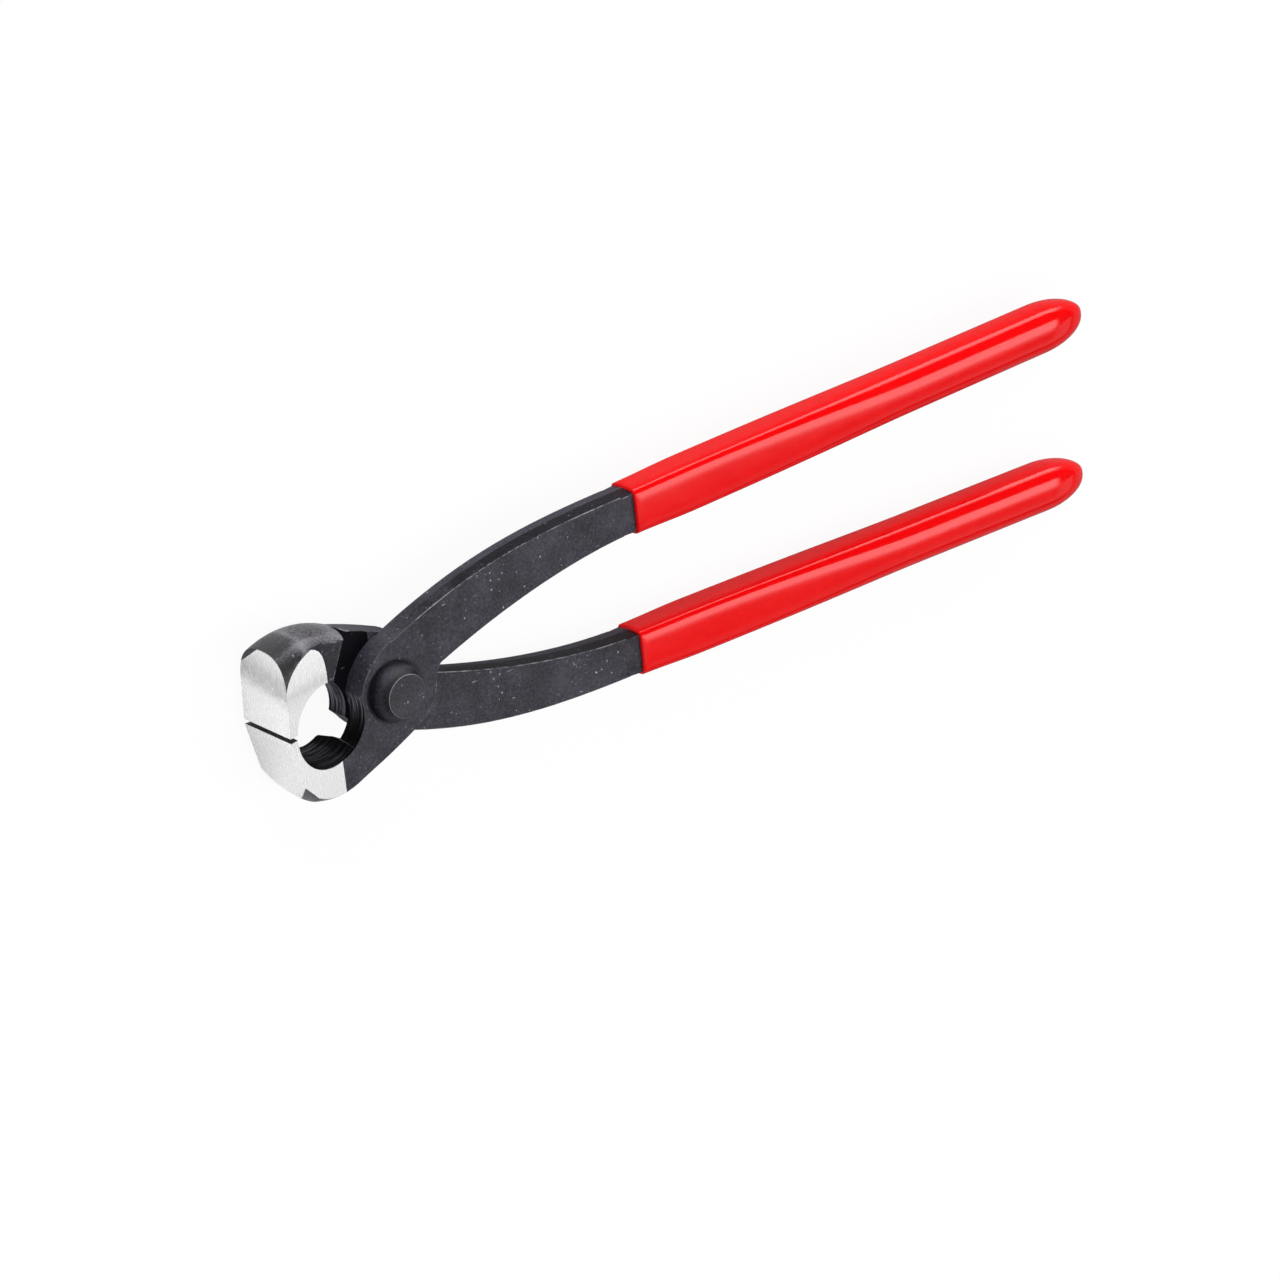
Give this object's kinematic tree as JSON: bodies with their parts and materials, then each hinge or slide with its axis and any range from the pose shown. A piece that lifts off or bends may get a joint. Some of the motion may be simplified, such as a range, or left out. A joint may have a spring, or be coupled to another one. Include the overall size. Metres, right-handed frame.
{
  "type": "ear clamp pliers",
  "caption": "Pincer-type ear clamp pliers: lapped forged halves on a rivet, bored pincer head with ground jaw facets, long curved arms and dipped vinyl grips.",
  "frame": {"origin": "middle of the flat end of the lower rivet head, on the hinge axis", "axes": "+X from the jaws to the grips, +Y towards the upper arm, +Z along the rivet"},
  "size_m": [0.2194, 0.0482, 0.0193],
  "materials": {
    "forging": "black oxide on forged faces, bright ground steel on the jaw facets",
    "rivet_steel": "black oxide, smooth",
    "vinyl": "glossy dip"
  },
  "bodies": {
    "upper_half": {"upper_arm_half": "forging", "rivet": "rivet_steel", "upper_grip": "vinyl"},
    "lower_half": {"lower_arm_half": "forging", "lower_grip": "vinyl"}
  },
  "joints": [
    {"name": "rivet_pivot", "type": "hinge", "parent": "upper_half", "child": "lower_half", "pos_m": [0, 0, 0.0097], "axis": [0, 0, -1], "range_deg": [-1.9, 69]}
  ]
}
